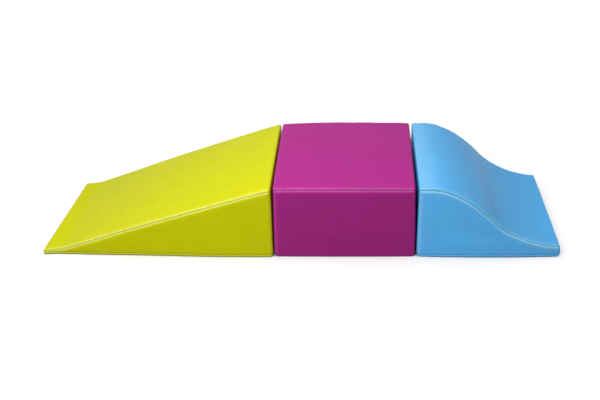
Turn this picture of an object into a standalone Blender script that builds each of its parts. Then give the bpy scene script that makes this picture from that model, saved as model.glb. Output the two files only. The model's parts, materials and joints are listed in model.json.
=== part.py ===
"""Foam play module set: a wedge ramp, a block and a wave slide that stand end to end.

Each module is a cut foam core in a sewn leatherette cover. The cover has a top panel that
wraps over the long edges, two side panels, end panels and a base panel with a low rim.
A coil zip in the back side panel lets the cover come off: two tapes behind a slot, the coil
on them, and a slider with a folding pull tab.

Frame: metres, +Z up. The modules stand along X (wedge at -X, wave at +X), the front is at
-Y and the zips are at +Y. The origin is on the floor, under the middle of the set.
"""

import math

import bmesh
import bpy
from mathutils import Vector

# The set as a whole. A gap is measured at the seams, and the faces bow towards each other.
DEPTH = 0.606
HEIGHT = 0.305
WEDGE_GAP = 0.006
WAVE_GAP = 0.007
END_CLEARANCE = 0.001

# Block
BLOCK_LENGTH = 0.550

# Wedge ramp, whose thin toe is a little narrower than its high end
WEDGE_LENGTH = 0.905
TOE_HEIGHT = 0.029
TOE_FALL = 0.0085
TOE_FLAT = 0.075
TOE_DEPTH = 0.560

# Wave slide: a level crest, a steep run through one turning point, and a long low tail
WAVE_LENGTH = 0.565
CREST_LENGTH = 0.053
CREST_HANDLE = 0.053
TURN_X = 0.302
TURN_DROP = 0.1435
TURN_SLOPE = 1.08
TURN_HANDLE_ABOVE = 0.144
TURN_HANDLE_BELOW = 0.102
TAIL_HANDLE = 0.067
TAIL_HEIGHT = 0.052
WAVE_STEPS = 10

# Cover: leatherette panels over the foam, whose faces bow out between the corners
COVER = 0.0015
COVER_CLEARANCE = 0.0003
EDGE_RADIUS = 0.010
BASE_RADIUS = 0.007
EDGE_SEGMENTS = 2
SHARP_ANGLE = 25
SEAM_GAP = 0.0012
TOP_BOW = 0.006
EDGE_BOW = 0.004
SIDE_BOW = 0.005
BOW_POWER = 2.4
BOW_MARGIN = 0.012
BOW_RISE = 0.062
THIN_FOAM = 0.150
GRID = 0.085

# Zip: it runs low along the back of each module, as far as the module is at least this high
ZIP_ROOM = 0.060
ZIP_MARGIN = 0.045
TAPE_FOOT = 0.005
TAPE_WIDTH = 0.012
TAPE_HEM = 0.0045
TAPE_THICKNESS = 0.0008
TAPE_LAP = 0.004
COIL_WIDTH = 0.0058
COIL_HEIGHT = 0.0022
COIL_ROUND = 0.0009

# Slider and pull tab
SLIDER_LENGTH = 0.013
SLIDER_FLARE = 1.15
SLIDER_WALL = 0.0010
SLIDER_CLEARANCE = 0.0004
BAIL_LENGTH = 0.0080
BAIL_WIDTH = 0.0020
BAIL_WALL = 0.0010
TAB_LENGTH = 0.024
TAB_WIDTH = 0.0070
TAB_THICKNESS = 0.0012
TAB_CLEARANCE = 0.0004

# Places that follow from the sizes above
SET_LENGTH = WEDGE_LENGTH + WEDGE_GAP + BLOCK_LENGTH + WAVE_GAP + WAVE_LENGTH
WEDGE_X = WEDGE_LENGTH - SET_LENGTH / 2
BLOCK_X = WEDGE_X + WEDGE_GAP + BLOCK_LENGTH / 2
WAVE_X = BLOCK_X + BLOCK_LENGTH / 2 + WAVE_GAP
BACK = DEPTH / 2
WEDGE_END_BOW = (WEDGE_GAP - END_CLEARANCE) / 2
WAVE_END_BOW = (WAVE_GAP - END_CLEARANCE) / 2
ZIP_HEIGHT = BASE_RADIUS + TAPE_FOOT + TAPE_WIDTH
ZIP_SLOT = 2 * (TAPE_WIDTH - TAPE_HEM)
BOW_START = ZIP_HEIGHT + TAPE_WIDTH + BOW_MARGIN
BOW_FULL = BOW_START + BOW_RISE

# Depths inwards from the cover's outer face. The foam and the zip's tapes lie behind the cover.
COVER_BACK = COVER + COVER_CLEARANCE
TAPE_BACK = COVER_BACK + TAPE_THICKNESS
COIL_BACK = COVER_BACK - COVER_CLEARANCE
# Heights outwards from it
COIL_TOP = COIL_HEIGHT - COIL_BACK
SLIDER_TOP = COIL_TOP + SLIDER_CLEARANCE + SLIDER_WALL
EYE_HEIGHT = TAB_THICKNESS + 2 * TAB_CLEARANCE
HINGE_HEIGHT = SLIDER_TOP + EYE_HEIGHT / 2
BAIL_TOP = SLIDER_TOP + EYE_HEIGHT + BAIL_WALL

# The cover's panels. A face of the skin is labelled with its panel's place in this list.
PANELS = ("top", "front", "back", "left_end", "right_end", "base")


def material(name, colour, roughness, metallic=0.0):
    """A plain Principled material."""
    made = bpy.data.materials.new(name)
    made.use_nodes = True
    shader = made.node_tree.nodes["Principled BSDF"]
    shader.inputs["Base Color"].default_value = (*colour, 1.0)
    shader.inputs["Roughness"].default_value = roughness
    shader.inputs["Metallic"].default_value = metallic
    return made


def add_object(name, shape, finish=None, parent=None, collection=None):
    """An object made from this bmesh, which is freed, in the set's collection or in another."""
    mesh = bpy.data.meshes.new(name)
    shape.to_mesh(mesh)
    shape.free()
    made = bpy.data.objects.new(name, mesh)
    (collection or parts).objects.link(made)
    if finish:
        mesh.materials.append(finish)
    made.parent = parent
    return made


def add_cutter(name, shape, parent=None):
    """A helper that cuts or joins another object and isn't a part itself."""
    made = add_object(name, shape, parent=parent, collection=cutters)
    made.hide_render = True
    made.display_type = "WIRE"
    return made


def add_boolean(target, other, operation="DIFFERENCE"):
    """Cuts another object from this one, or joins it on."""
    boolean = target.modifiers.new(other.name, "BOOLEAN")
    boolean.operation = operation
    boolean.object = other


def box(low, high, rounding=0.0, segments=2):
    """A box between two corners, with its edges rounded."""
    low = Vector(low)
    high = Vector(high)
    shape = bmesh.new()
    bmesh.ops.create_cube(shape, size=1)
    bmesh.ops.scale(shape, vec=high - low, verts=shape.verts)
    bmesh.ops.translate(shape, vec=(low + high) / 2, verts=shape.verts)
    if rounding:
        bmesh.ops.bevel(
            shape, geom=shape.edges[:], offset=rounding, segments=segments, profile=0.5, affect="EDGES"
        )
    return shape


def smooth(value, low, high):
    """0 below low, 1 above high, and an even curve between."""
    t = min(max((value - low) / (high - low), 0.0), 1.0)
    return t * t * (3 - 2 * t)


def bow(across):
    """1 in the middle of a face and 0 at its edges, where across is -1 and 1."""
    return 1 - min(abs(across), 1.0) ** BOW_POWER


def bezier(start, handle, end_handle, end, steps):
    """Points along a cubic Bezier piece, without its first point."""
    points = []
    for i in range(1, steps + 1):
        t = i / steps
        s = 1 - t
        points.append(start * s**3 + handle * 3 * s * s * t + end_handle * 3 * s * t * t + end * t**3)
    return points


def block_top():
    """The block's top line as points (x, z), from left to right. Its middle is at x = 0."""
    half = BLOCK_LENGTH / 2
    return [Vector((-half, HEIGHT)), Vector((half, HEIGHT))]


def wedge_top():
    """The ramp's top line. Its toe is at -WEDGE_LENGTH and its high end at x = 0."""
    toe = -WEDGE_LENGTH
    nose = Vector((toe, TOE_HEIGHT - TOE_FALL))
    return [nose, Vector((toe + TOE_FLAT, TOE_HEIGHT)), Vector((0, HEIGHT))]


def wave_top():
    """The slide's top line, from its high end at x = 0 to the end of its tail."""
    run = Vector((1, -TURN_SLOPE)).normalized()
    level = Vector((1, 0))
    crest = Vector((CREST_LENGTH, HEIGHT))
    turn = Vector((TURN_X, HEIGHT - TURN_DROP))
    tail = Vector((WAVE_LENGTH, TAIL_HEIGHT))
    upper = bezier(crest, crest + level * CREST_HANDLE, turn - run * TURN_HANDLE_ABOVE, turn, WAVE_STEPS)
    lower = bezier(turn, turn + run * TURN_HANDLE_BELOW, tail - level * TAIL_HANDLE, tail, WAVE_STEPS)
    return [Vector((0, HEIGHT)), crest] + upper + lower


def prism(top):
    """The space under a top line, drawn out over the depth. Long, end and base edges are rounded."""
    shape = bmesh.new()
    outline = [Vector((top[0].x, 0)), *top, Vector((top[-1].x, 0))]
    face = shape.faces.new([shape.verts.new((p.x, -BACK, p.y)) for p in outline])
    drawn = bmesh.ops.extrude_face_region(shape, geom=[face])
    moved = [v for v in drawn["geom"] if isinstance(v, bmesh.types.BMVert)]
    bmesh.ops.translate(shape, verts=moved, vec=(0, DEPTH, 0))
    bmesh.ops.recalc_face_normals(shape, faces=shape.faces)
    weight = shape.edges.layers.float.new("bevel_weight_edge")
    for edge in shape.edges:
        if edge.calc_face_angle() > math.radians(SHARP_ANGLE):
            on_base = all(v.co.z == 0 for v in edge.verts)
            edge[weight] = BASE_RADIUS / EDGE_RADIUS if on_base else 1.0
    body = add_object("Prism", shape, collection=cutters)
    rounding = body.modifiers.new("Edges", "BEVEL")
    rounding.limit_method = "WEIGHT"
    rounding.width = EDGE_RADIUS
    rounding.segments = EDGE_SEGMENTS
    graph = bpy.context.evaluated_depsgraph_get()
    mesh = bpy.data.meshes.new_from_object(body.evaluated_get(graph))
    bpy.data.objects.remove(body)
    rounded = bmesh.new()
    rounded.from_mesh(mesh)
    bpy.data.meshes.remove(mesh)
    return rounded


def name_panels(skin, ends):
    """Labels each face with its cover panel. ends says which end panels exist."""
    label = skin.faces.layers.int.new("panel")
    low = min(v.co.x for v in skin.verts)
    high = max(v.co.x for v in skin.verts)
    skin.normal_update()
    for face in skin.faces:
        middle = face.calc_center_median()
        if middle.z < BASE_RADIUS:
            name = "base"
        elif abs(face.normal.y) > 0.999:
            name = "front" if face.normal.y < 0 else "back"
        elif "left_end" in ends and middle.x < low + EDGE_RADIUS:
            name = "left_end"
        elif "right_end" in ends and middle.x > high - EDGE_RADIUS:
            name = "right_end"
        else:
            name = "top"
        face[label] = PANELS.index(name)


def cut_grid(skin, stations, label):
    """Cuts the skin across at these places along X, and at even steps over its depth and height."""

    def cut(axis, place, faces):
        point = Vector((0, 0, 0))
        point[axis] = place
        normal = Vector((0, 0, 0))
        normal[axis] = 1
        geom = set(faces)
        for face in faces:
            geom.update(face.edges)
            geom.update(face.verts)
        bmesh.ops.bisect_plane(skin, geom=list(geom), dist=1e-5, plane_co=point, plane_no=normal)

    for place in stations:
        cut(0, place, skin.faces[:])
    steps = round(DEPTH / GRID)
    for i in range(1, steps):
        cut(1, -BACK + DEPTH * i / steps, skin.faces[:])
    upright = [PANELS.index(name) for name in PANELS if name not in ("top", "base")]
    for place in (BOW_START, BOW_FULL, (BOW_FULL + HEIGHT) / 2):
        cut(2, place, [face for face in skin.faces if face[label] in upright])


def height_at(top, x):
    """The height of a top line at x."""
    for a, b in zip(top, top[1:]):
        if x <= b.x:
            return a.y + (b.y - a.y) * max(x - a.x, 0) / (b.x - a.x)
    return top[-1].y


def bow_out(skin, top, end_bows):
    """Moves the faces out between their edges. The side stays flat low down, where the zip runs."""
    low = top[0].x
    length = top[-1].x - low
    for vertex in skin.verts:
        x, y, z = vertex.co
        height = height_at(top, x)
        along = min(max(2 * (x - low) / length - 1, -1), 1)
        over = y / BACK
        up = 2 * z / height - 1
        firm = smooth(height, 0, THIN_FOAM)
        left, right = (end_bow * bow(over) * bow(up) for end_bow in end_bows)
        vertex.co.z += firm * (EDGE_BOW * bow(along) + TOP_BOW * bow(over)) * z / height
        vertex.co.y += SIDE_BOW * firm * bow(along) * smooth(z, BOW_START, BOW_FULL) * over
        vertex.co.x += right * max(along, 0) ** 3 - left * max(-along, 0) ** 3


def straight(point):
    """No change of plan."""
    return point


def narrowed(point):
    """The ramp's plan: it narrows evenly from its high end to its toe."""
    share = 1 - (1 - TOE_DEPTH / DEPTH) * -point.x / WEDGE_LENGTH
    return Vector((point.x, point.y * share, point.z))


def place(shape, plan):
    """Puts every point of a shape where the module's plan has it."""
    for vertex in shape.verts:
        vertex.co = plan(vertex.co)
    return shape


def make_panel(module, name, skin, finish, parent):
    """One panel of the cover: its faces of the skin, drawn back from the seams, with a wall inwards."""
    shape = skin.copy()
    label = shape.faces.layers.int["panel"]
    faces = [face for face in shape.faces if face[label] != PANELS.index(name)]
    bmesh.ops.delete(shape, geom=faces, context="FACES")
    rim = bmesh.ops.inset_region(
        shape, faces=shape.faces[:], thickness=SEAM_GAP / 2, use_boundary=True, use_even_offset=True
    )
    bmesh.ops.delete(shape, geom=rim["faces"], context="FACES")
    panel = add_object(f"{module}_{name}_panel", shape, finish, parent)
    wall = panel.modifiers.new("Wall", "SOLIDIFY")
    wall.thickness = COVER
    wall.offset = -1
    wall.use_even_offset = True
    return panel


def make_core(module, skin, parent):
    """The foam, which fills the cover."""
    shape = skin.copy()
    shape.normal_update()
    depths = [(vertex, vertex.normal * vertex.calc_shell_factor() * COVER_BACK) for vertex in shape.verts]
    for vertex, depth in depths:
        vertex.co -= depth
    return add_object(f"{module}_foam_core", shape, foam, parent)


def make_slider(module, parent, place_at, angle):
    """The slider: a channel over the coil, wider at its leading end, with a bail for the pull tab."""
    half = SLIDER_LENGTH / 2
    inside = COIL_WIDTH / 2 + SLIDER_CLEARANCE
    side = inside + SLIDER_WALL
    shape = box((-half, -COIL_BACK + SLIDER_CLEARANCE, -side), (half, SLIDER_TOP, side))
    for vertex in shape.verts:
        if vertex.co.x > 0:
            vertex.co.z *= SLIDER_FLARE
    slider = add_object(f"{module}_zip_slider", shape, zip_metal, parent)
    slider.location = place_at
    slider.rotation_euler.z = angle
    channel_top = COIL_TOP + SLIDER_CLEARANCE
    channel = box((-SLIDER_LENGTH, -HEIGHT, -inside), (SLIDER_LENGTH, channel_top, inside))
    add_boolean(slider, add_cutter(f"{module}_slider_channel", channel, slider))
    bail_half = BAIL_LENGTH / 2
    bail = box(
        (-bail_half, SLIDER_TOP - SLIDER_WALL / 2, -BAIL_WIDTH / 2), (bail_half, BAIL_TOP, BAIL_WIDTH / 2)
    )
    eye_half = bail_half - BAIL_WALL
    eye = box((-eye_half, SLIDER_TOP, -TAB_WIDTH), (eye_half, BAIL_TOP - BAIL_WALL, TAB_WIDTH))
    bail_cutter = add_cutter(f"{module}_slider_bail", bail, slider)
    add_boolean(bail_cutter, add_cutter(f"{module}_bail_eye", eye, slider))
    add_boolean(slider, bail_cutter, "UNION")
    rounding = slider.modifiers.new("Edges", "BEVEL")
    rounding.limit_method = "ANGLE"
    rounding.width = BAIL_WALL / 5
    rounding.segments = 1
    return slider


def make_tab(module, slider):
    """The pull tab: a plate whose end bar lies in the bail. Its origin is on the bar's axis."""
    bar = TAB_THICKNESS / 2
    shape = box((-TAB_LENGTH, -bar, -TAB_WIDTH / 2), (bar, bar, TAB_WIDTH / 2), bar / 3, 1)
    tab = add_object(f"{module}_zip_pull_tab", shape, zip_metal, slider)
    tab.location.y = HINGE_HEIGHT
    reach = BAIL_LENGTH / 2 + 2 * TAB_CLEARANCE
    half = BAIL_WIDTH / 2 + 2 * TAB_CLEARANCE
    window = box((-reach, -TAB_WIDTH, -half), (-bar, TAB_WIDTH, half))
    add_boolean(tab, add_cutter(f"{module}_tab_window", window, tab))
    return tab


def zip_run(top):
    """Where the zip starts and ends along a module with this top line."""
    low = top[0].x
    high = top[-1].x
    for a, b in zip(top, top[1:]):
        if a.y < ZIP_ROOM < b.y:
            low = a.x + (b.x - a.x) * (ZIP_ROOM - a.y) / (b.y - a.y)
        if a.y > ZIP_ROOM > b.y:
            high = a.x + (b.x - a.x) * (ZIP_ROOM - a.y) / (b.y - a.y)
    return low + ZIP_MARGIN, high - ZIP_MARGIN


def make_zip(module, run, core, back_panel, plan, parent):
    """The zip in the back side panel: a slot, two tapes behind it, the coil, the slider and its tab."""
    low, high = run
    slot = box(
        (low, BACK - TAPE_BACK, ZIP_HEIGHT - ZIP_SLOT / 2), (high, BACK + COVER, ZIP_HEIGHT + ZIP_SLOT / 2)
    )
    add_boolean(back_panel, add_cutter(f"{module}_zip_slot", place(slot, plan), parent))
    start = low - TAPE_LAP
    end = high + TAPE_LAP
    room = COVER_CLEARANCE
    recess = box(
        (start - room, BACK - TAPE_BACK - room, ZIP_HEIGHT - TAPE_WIDTH - room),
        (end + room, BACK, ZIP_HEIGHT + TAPE_WIDTH + room),
    )
    add_boolean(core, add_cutter(f"{module}_zip_recess", place(recess, plan), parent))
    for name, foot in (("upper", ZIP_HEIGHT + room / 2), ("lower", ZIP_HEIGHT - TAPE_WIDTH)):
        tape = box((start, BACK - TAPE_BACK, foot), (end, BACK - COVER_BACK, foot + TAPE_WIDTH - room / 2))
        add_object(f"{module}_{name}_zip_tape", place(tape, plan), zip_cloth, parent)
    coil_half = COIL_WIDTH / 2
    coil = box(
        (low + room, BACK - COIL_BACK, ZIP_HEIGHT - coil_half),
        (high - room, BACK + COIL_TOP, ZIP_HEIGHT + coil_half),
        COIL_ROUND,
    )
    add_object(f"{module}_zip_coil", place(coil, plan), zip_plastic, parent)
    ahead = plan(Vector((high, BACK, ZIP_HEIGHT))) - plan(Vector((low, BACK, ZIP_HEIGHT)))
    closed = plan(Vector((high - SLIDER_LENGTH, BACK, ZIP_HEIGHT)))
    slider = make_slider(module, parent, closed, math.atan2(ahead.y, ahead.x))
    make_tab(module, slider)


def make_module(module, top, stations, x, ends, end_bows, finish, plan=straight):
    """One module: its foam core, its cover panels and its zip, under an empty at its own origin."""
    frame = bpy.data.objects.new(module, None)
    parts.objects.link(frame)
    frame.location.x = x
    skin = prism(top)
    name_panels(skin, ends)
    label = skin.faces.layers.int["panel"]
    cut_grid(skin, stations, label)
    bow_out(skin, top, end_bows)
    place(skin, plan)
    bmesh.ops.triangulate(skin, faces=skin.faces[:])
    core = make_core(module, skin, frame)
    panels = {}
    for name in ("top", "front", "back", "base", *ends):
        panels[name] = make_panel(module, name, skin, finish, frame)
    make_zip(module, zip_run(top), core, panels["back"], plan, frame)
    skin.free()


def even_stations(low, high):
    """Places between two ends, a grid step or less apart."""
    steps = math.ceil((high - low) / GRID)
    return [low + (high - low) * i / steps for i in range(1, steps)]


for old in list(bpy.data.objects):
    bpy.data.objects.remove(old)
parts = bpy.data.collections.new("Foam play module set")
cutters = bpy.data.collections.new("Cutters")
for group in (parts, cutters):
    bpy.context.scene.collection.children.link(group)

foam = material("Foam", (0.80, 0.76, 0.62), 0.95)
lime = material("Lime leatherette", (0.60, 0.63, 0.02), 0.45)
magenta = material("Magenta leatherette", (0.36, 0.035, 0.24), 0.45)
blue = material("Blue leatherette", (0.10, 0.40, 0.72), 0.45)
zip_cloth = material("Zip tape", (0.06, 0.06, 0.07), 0.9)
zip_plastic = material("Zip coil", (0.05, 0.05, 0.06), 0.5)
zip_metal = material("Zip slider", (0.30, 0.30, 0.31), 0.35, 1.0)

make_module(
    "wedge",
    wedge_top(),
    even_stations(-WEDGE_LENGTH + TOE_FLAT, 0) + [-WEDGE_LENGTH + TOE_FLAT],
    WEDGE_X,
    ("right_end",),
    (0, WEDGE_END_BOW),
    lime,
    narrowed,
)
make_module(
    "block",
    block_top(),
    even_stations(-BLOCK_LENGTH / 2, BLOCK_LENGTH / 2),
    BLOCK_X,
    ("left_end", "right_end"),
    (WEDGE_END_BOW, WAVE_END_BOW),
    magenta,
)
make_module(
    "wave",
    wave_top(),
    [point.x for point in wave_top()[1:-1]],
    WAVE_X,
    ("left_end", "right_end"),
    (WAVE_END_BOW, 0),
    blue,
)
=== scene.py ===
import json
import math

import bmesh
import bpy
import numpy as np
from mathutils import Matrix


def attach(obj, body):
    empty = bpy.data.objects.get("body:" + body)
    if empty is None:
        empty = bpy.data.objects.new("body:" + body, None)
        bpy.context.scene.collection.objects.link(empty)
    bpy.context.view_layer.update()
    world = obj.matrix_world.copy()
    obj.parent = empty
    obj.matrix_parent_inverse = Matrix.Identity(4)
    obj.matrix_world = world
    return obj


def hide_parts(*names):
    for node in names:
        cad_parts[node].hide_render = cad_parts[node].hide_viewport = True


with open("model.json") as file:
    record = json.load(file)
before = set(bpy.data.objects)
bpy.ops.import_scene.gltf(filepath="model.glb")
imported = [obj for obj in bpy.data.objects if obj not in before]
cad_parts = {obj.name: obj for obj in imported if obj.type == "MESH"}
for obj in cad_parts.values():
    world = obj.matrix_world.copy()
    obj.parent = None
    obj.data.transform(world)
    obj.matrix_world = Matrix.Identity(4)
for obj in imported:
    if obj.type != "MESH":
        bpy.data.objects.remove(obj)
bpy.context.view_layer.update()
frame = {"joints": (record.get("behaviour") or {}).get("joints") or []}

# Camera: it stands in front of the block, a little to its right, and looks down on the set. The small
# shift keeps the block's place in the frame while the back stays parallel to the set.


def add_object(name, data):
    """A new object in the scene."""
    thing = bpy.data.objects.new(name, data)
    bpy.context.scene.collection.objects.link(thing)
    return thing


camera_lens = bpy.data.cameras.new("Camera")
camera_lens.sensor_width = 36
camera_lens.lens = 50.31
camera_lens.shift_x = -0.1021
camera = add_object("Camera", camera_lens)
camera.location = (0.2342, -3.0751, 1.7955)
camera.rotation_euler = (math.radians(60.95), 0, 0)
bpy.context.scene.camera = camera
bpy.context.scene.view_settings.view_transform = "Standard"

# Studio: a white floor and a white room, lit by a large softbox over the left half of the set, another
# one in front of it, up and to the left, and the room itself.
ROOM_LIGHT = 0.34
OVERHEAD_WATTS = 22
FRONT_WATTS = 42
SOFTBOX = 1.3
FLOOR_HALF = 9
FLOOR_Z = -0.0002
FLOOR_COLOUR = 0.42
FLOOR_GLOW = 0.645
FAR_FLOOR_GLOW = 0.89
CONTACT_REACH = 0.10


def feed(tree, node, values):
    """Gives a node's inputs their values, each a number, a colour or the output of another node."""
    for label, value in values.items():
        if isinstance(value, bpy.types.NodeSocket):
            tree.links.new(value, node.inputs[label])
        else:
            node.inputs[label].default_value = (*value, 1) if isinstance(value, tuple) else value


def add_node(tree, kind, values=None, **settings):
    """A new node with its settings and its inputs' values."""
    node = tree.nodes.new(kind)
    for name, setting in settings.items():
        setattr(node, name, setting)
    feed(tree, node, values or {})
    return node


def math_node(tree, operation, *values):
    """The output of a Math node. Each value is a number or the output of another node."""
    return add_node(tree, "ShaderNodeMath", dict(enumerate(values)), operation=operation).outputs[0]


def seen_directly(tree):
    """1 where a camera, glossy or transmission ray looks, and 0 for the rays that carry light."""
    rays = add_node(tree, "ShaderNodeLightPath").outputs
    seen = math_node(tree, "MAXIMUM", rays["Is Camera Ray"], rays["Is Glossy Ray"])
    return math_node(tree, "MAXIMUM", seen, rays["Is Transmission Ray"])


world = bpy.data.worlds.new("White room")
bpy.context.scene.world = world
world.use_nodes = True
room = world.node_tree
level = add_node(room, "ShaderNodeMix", {"Factor": seen_directly(room), "A": ROOM_LIGHT, "B": 1.0})
feed(room, room.nodes["Background"], {"Color": (1, 1, 1), "Strength": level.outputs["Result"]})

for lamp_name, watts, location, tilt, turn in (
    ("Overhead softbox", OVERHEAD_WATTS, (-0.35, 0, 3.0), 0, 0),
    ("Front softbox", FRONT_WATTS, (-0.5, -1.6, 2.2), 38, -14),
):
    lamp = bpy.data.lights.new(lamp_name, "AREA")
    lamp.energy = watts
    lamp.size = SOFTBOX
    lamp_object = add_object(lamp_name, lamp)
    lamp_object.location = location
    lamp_object.rotation_euler = (math.radians(tilt), 0, math.radians(turn))

floor_mesh = bpy.data.meshes.new("Floor")
floor_corners = [(FLOOR_HALF * x, FLOOR_HALF * y, FLOOR_Z) for x, y in ((-1, -1), (1, -1), (1, 1), (-1, 1))]
floor_mesh.from_pydata(floor_corners, [], [(0, 1, 2, 3)])
floor = add_object("Floor", floor_mesh)
floor_paint = bpy.data.materials.new("White floor")
floor_paint.use_nodes = True
tree = floor_paint.node_tree
tree.nodes.clear()
# The glow rises away from the set, where the softbox no longer reaches, and sinks close under it: there
# ambient occlusion dims it into a painted contact shadow on the floor.
place = add_node(tree, "ShaderNodeTexCoord").outputs["Object"]
away = add_node(tree, "ShaderNodeVectorMath", {0: place}, operation="LENGTH").outputs["Value"]
rise = {"Value": away, "From Min": 0.4, "From Max": 2.6, "To Min": FLOOR_GLOW, "To Max": FAR_FLOOR_GLOW}
openness = add_node(tree, "ShaderNodeAmbientOcclusion", {"Distance": CONTACT_REACH}).outputs["AO"]
contact_shadow = {"Value": openness, "From Min": 0.10, "From Max": 0.56}
strength = math_node(tree, "MULTIPLY_ADD", openness, 0.3, 0.7)
for values in (rise, contact_shadow):
    part = add_node(tree, "ShaderNodeMapRange", values, interpolation_type="SMOOTHSTEP")
    strength = math_node(tree, "MULTIPLY", strength, part.outputs["Result"])
strength = math_node(tree, "MULTIPLY", strength, seen_directly(tree))
glow = add_node(tree, "ShaderNodeEmission", {"Strength": strength})
diffuse = add_node(tree, "ShaderNodeBsdfDiffuse", {"Color": (FLOOR_COLOUR, FLOOR_COLOUR, FLOOR_COLOUR)})
both = add_node(tree, "ShaderNodeAddShader", {0: diffuse.outputs[0], 1: glow.outputs[0]})
add_node(tree, "ShaderNodeOutputMaterial", {"Surface": both.outputs[0]})
floor_mesh.materials.append(floor_paint)

# Top panels: the leatherette that a child climbs on. Each is cut in one piece that wraps over the two
# long edges, and on the wedge also down round the toe, and is sewn to the side and end panels there.
# The foam's edges are rounded under it, and the cover bows out between its seams.
QUARTER = math.radians(90)
WEDGE_LENGTH = 0.905
BLOCK_LENGTH = 0.550
WAVE_LENGTH = 0.565
DEPTH = 0.606
HEIGHT = 0.305
BACK = DEPTH / 2
EDGE = 0.010
INNER_BACK = BACK - EDGE
WRAP = math.radians(68)
SEAM_LEAN = QUARTER - WRAP
BASE_SEAM = 0.0115
SEAM_LAP = 0.0002
# How far the cover stands out in the middle, the height of foam from which it does so fully, and the
# heights between which the front's foot passes into its upper part
LENGTH_BOW = 0.004
DEPTH_BOW = 0.006
SIDE_BOW = 0.005
FIRM_HEIGHT = 0.150
FOOT_HEIGHTS = (0.048, 0.110)
# How far the ends are tucked in at the floor and squeezed beside their upright seams, and where
TUCK = 0.005
TUCK_HEIGHTS = (-0.004, 0.018)
TUCK_LENGTH = 0.04
SQUEEZE = 0.0036
SQUEEZE_RISE = (0, 0.011)
SQUEEZE_FALL = (0.012, 0.06)
# How deep a seam draws the cover in and turns its allowance, and how wide
ALLOWANCE = 0.0015
ALLOWANCE_WIDTH = 0.00025
FOLD = 0.0026
FOLD_WIDTH = 0.0008
SHOULDER = 0.0024
SHOULDER_WIDTH = 0.0040
MOST_FOLD = 0.0056
PUFF = 0.0005
PUFF_REACH = 0.008
# How strongly each kind of seam draws the cover in, shows a painted highlight on its rolled edge and shows
# painted shade in its fold. The left upright seams carry more painted highlight and the right ones much
# more painted shade, for light that comes from the left.
LONG_SEAM = (1.0, 1.0, 1.0)
BASE_LINE = (0.7, 0.12, 0.6)
LEFT_SEAM = (0.28, 0.30, 0.05)
RIGHT_SEAM = (0.28, 0.06, 0.75)
CROSS_SEAM = (0.22, 0.05, 0.08)
# The width of the painted highlight on the rolled edge, how strongly it shows, and how strongly the
# painted light band round it shows
TOP_HIGHLIGHT = (0.009, 0.45, 0.15)
SIDE_HIGHLIGHT = (0.0042, 0.85, 0.8)
# How far the painted light band reaches from a seam
LIGHT_BAND_WIDTH = 0.010
# How dark the painted shade in a seam's fold is at most, and how fast it fades from the seam
FOLD_SHADE = 0.9
FOLD_SHADE_WIDTH = 0.0010
# Amount, wavelength and seed of each part of the cover's unevenness, of the puckers beside a seam and of
# the painted glints on the painted highlight along the rolled edge
UNEVEN = ((0.00035, 0.110, 3), (0.00012, 0.035, 5))
PUCKER = (0.6, 0.022, 7)
GLINT = (0.22, 0.014, 11)
# How strongly a painted highlight lightens the wave's crest, up to where, and how slowly that fades
CREST_HIGHLIGHT = 0.33
CREST_END = 0.03
CREST_FADE = 0.04
# How far in the shift of a seam is felt, where a seam is stitched, the leatherette's thickness, and the
# even steps of the panels' grids
SEAM_SHIFT_REACH = 0.030
STITCHED = 0.0016
COVER = 0.0012
STEP = 0.0045
CROSS_STEP = 0.009


def smooth(value, low, high):
    """0 below low, 1 above high, and 3t^2 - 2t^3 between."""
    t = np.clip((value - low) / (high - low), 0, 1)
    return t * t * (3 - 2 * t)


def bow(across):
    """1 - |t|^2.4: 1 in the middle of a face and 0 at its edges, where t is -1 and 1."""
    return 1 - np.minimum(np.abs(across), 1) ** 2.4


def stacked(*coordinates):
    """Points or directions from their coordinates, which are first spread to one shape."""
    return np.stack(np.broadcast_arrays(*coordinates), axis=-1)


def unit(vectors):
    """Vectors divided by their lengths."""
    return vectors / np.linalg.norm(vectors, axis=-1, keepdims=True)


def ripple(points, wavelength, seed):
    """A soft unevenness between about -1 and 1: the mean of eight sine waves in random directions."""
    random = np.random.default_rng(seed)
    ways = unit(random.normal(size=(8, 3)))
    ways *= 2 * math.pi / (wavelength * random.uniform(0.7, 1.5, size=(8, 1)))
    phases = random.uniform(0, 2 * math.pi, size=8)
    return np.sin(points @ ways.T + phases).mean(axis=-1) * 2


def from_seams(length, step, first=0.0003, growth=1.32):
    """Distances from 0 to length. The steps grow by one factor from both ends up to an even step."""
    grown = first * growth ** np.arange(40)
    rise = np.concatenate([[0.0], np.cumsum(grown[grown < step])])
    rise = rise[rise < 0.4 * length]
    count = max(math.ceil((length - 2 * rise[-1]) / step), 1)
    middle = np.linspace(rise[-1], length - rise[-1], count + 1)
    return np.concatenate([rise[:-1], middle, length - rise[-2::-1]])


def strongest(seams, share, fade):
    """The largest over the seams of this share of their kind times a function of the distance."""
    return np.maximum.reduce(np.broadcast_arrays(*(kind[share] * fade(d) for d, kind in seams)))


def seam_pull(seams):
    """How far the cover is drawn in: at each seam a narrow fold and a wide shoulder, both exponentials of
    the distance, times the seam's strength, added up over the seams to a limit. At the very edge the
    seam allowance turns further in."""
    pull = sum(
        kind[0] * (FOLD * np.exp(-d / FOLD_WIDTH) + SHOULDER * np.exp(-d / SHOULDER_WIDTH))
        for d, kind in seams
    )
    turned_in = strongest(seams, 0, lambda d: np.exp(-(d + SEAM_LAP) / ALLOWANCE_WIDTH))
    return -MOST_FOLD * np.tanh(pull / MOST_FOLD) - ALLOWANCE * turned_in


def hump(distance, reach):
    """d/a * e^(1 - d/a), which rises from 0 to 1 at the distance a and falls slowly beyond it."""
    away = np.maximum(distance, 0) / reach
    return away * np.exp(1 - away)


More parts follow.
